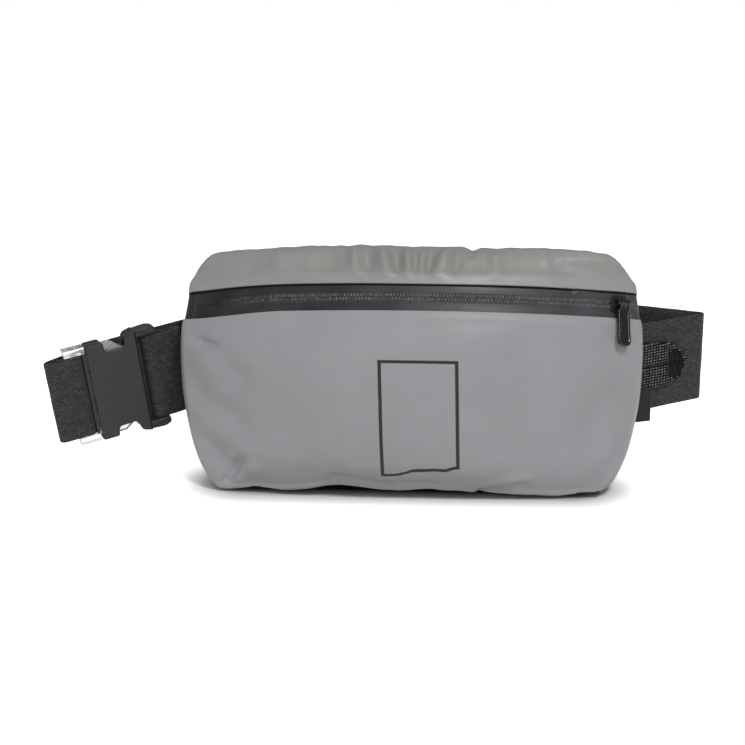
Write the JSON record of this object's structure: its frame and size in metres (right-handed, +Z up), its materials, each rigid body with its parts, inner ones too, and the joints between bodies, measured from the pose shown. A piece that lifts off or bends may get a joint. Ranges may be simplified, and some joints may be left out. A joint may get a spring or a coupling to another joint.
{
  "type": "belt bag",
  "caption": "Small zipped belt bag with a padded mesh back, a webbing waist belt, a side release buckle and a length adjuster.",
  "frame": {"origin": "middle of the flat bottom that the bag stands on", "axes": "+Z up, +X to the right of someone looking at the zipped front, -Y out of the front"},
  "size_m": [0.3199, 0.0936, 0.116],
  "materials": {
    "coated_fabric": "coated polyester, satin",
    "spacer_mesh": "knitted spacer mesh",
    "foam": "closed cell foam",
    "lining": "plain woven lining",
    "zip_tape": "coated zip tape, satin",
    "zip_coil": "coiled nylon",
    "black_metal": "gloss black lacquer",
    "woven_label": "woven label",
    "webbing": "ribbed polyester webbing",
    "black_acetal": "moulded, satin",
    "clear_plastic": "clear moulding",
    "thread": "bonded thread"
  },
  "bodies": {
    "bag": {"front_panel": "coated_fabric", "top_panel": "coated_fabric", "back_panel": "spacer_mesh", "back_foam": "foam", "front_lining": "lining", "back_lining": "lining", "seam_binding": "webbing", "zip_tape_upper": "zip_tape", "zip_tape_lower": "zip_tape", "zip_coil_upper": "zip_coil", "zip_coil_lower": "zip_coil", "zip_end_tab_left": "zip_tape", "zip_end_tab_right": "zip_tape", "zip_stop_left": "black_metal", "zip_stop_right": "black_metal", "wing_right": "spacer_mesh", "side_label": "woven_label", "short_strap": "webbing", "belt_right": "webbing", "buckle_socket": "black_acetal", "triglide": "black_acetal", "bartack_wing": "thread", "bartack_socket": "thread", "bartack_adjuster": "thread"},
    "slider": {"zip_slider": "black_metal"},
    "pull": {"zip_pull": "black_metal"},
    "plug": {"plug_body": "clear_plastic", "belt_left": "webbing", "bartack_plug": "thread"},
    "prong_upper": {"plug_prong_upper": "clear_plastic"},
    "prong_lower": {"plug_prong_lower": "clear_plastic"}
  },
  "joints": [
    {"name": "zip_travel", "type": "hinge", "parent": "bag", "child": "slider", "pos_m": [0, 0.16826, 0.0392], "axis": [0, 0.284, 0.9588], "range_deg": [-58, 0], "deforming": ["zip_coil_upper", "zip_coil_lower"]},
    {"name": "pull_swing", "type": "hinge", "parent": "slider", "child": "pull", "pos_m": [0.09929, -0.00269, 0.09111], "axis": [-0.8741, -0.4658, 0.138], "range_deg": [0, 130]},
    {"name": "plug_release", "type": "slide", "parent": "bag", "child": "plug", "axis": [-0.8584, -0.4857, -0.165], "range_m": [0, 0.024], "deforming": ["plug_prong_upper", "plug_prong_lower"]},
    {"name": "prong_upper_flex", "type": "hinge", "parent": "plug", "child": "prong_upper", "pos_m": [-0.15199, -0.00695, 0.05985], "axis": [-0.5031, 0.86, 0.086], "range_deg": [0, 10], "stiffness_Nm_per_rad": 0.02},
    {"name": "prong_lower_flex", "type": "hinge", "parent": "plug", "child": "prong_lower", "pos_m": [-0.14902, -0.00231, 0.03077], "axis": [0.5031, -0.86, -0.086], "range_deg": [0, 10], "stiffness_Nm_per_rad": 0.02}
  ],
  "couplings": [
    {"joint": "prong_lower_flex", "follows": "prong_upper_flex", "ratio": 1}
  ]
}
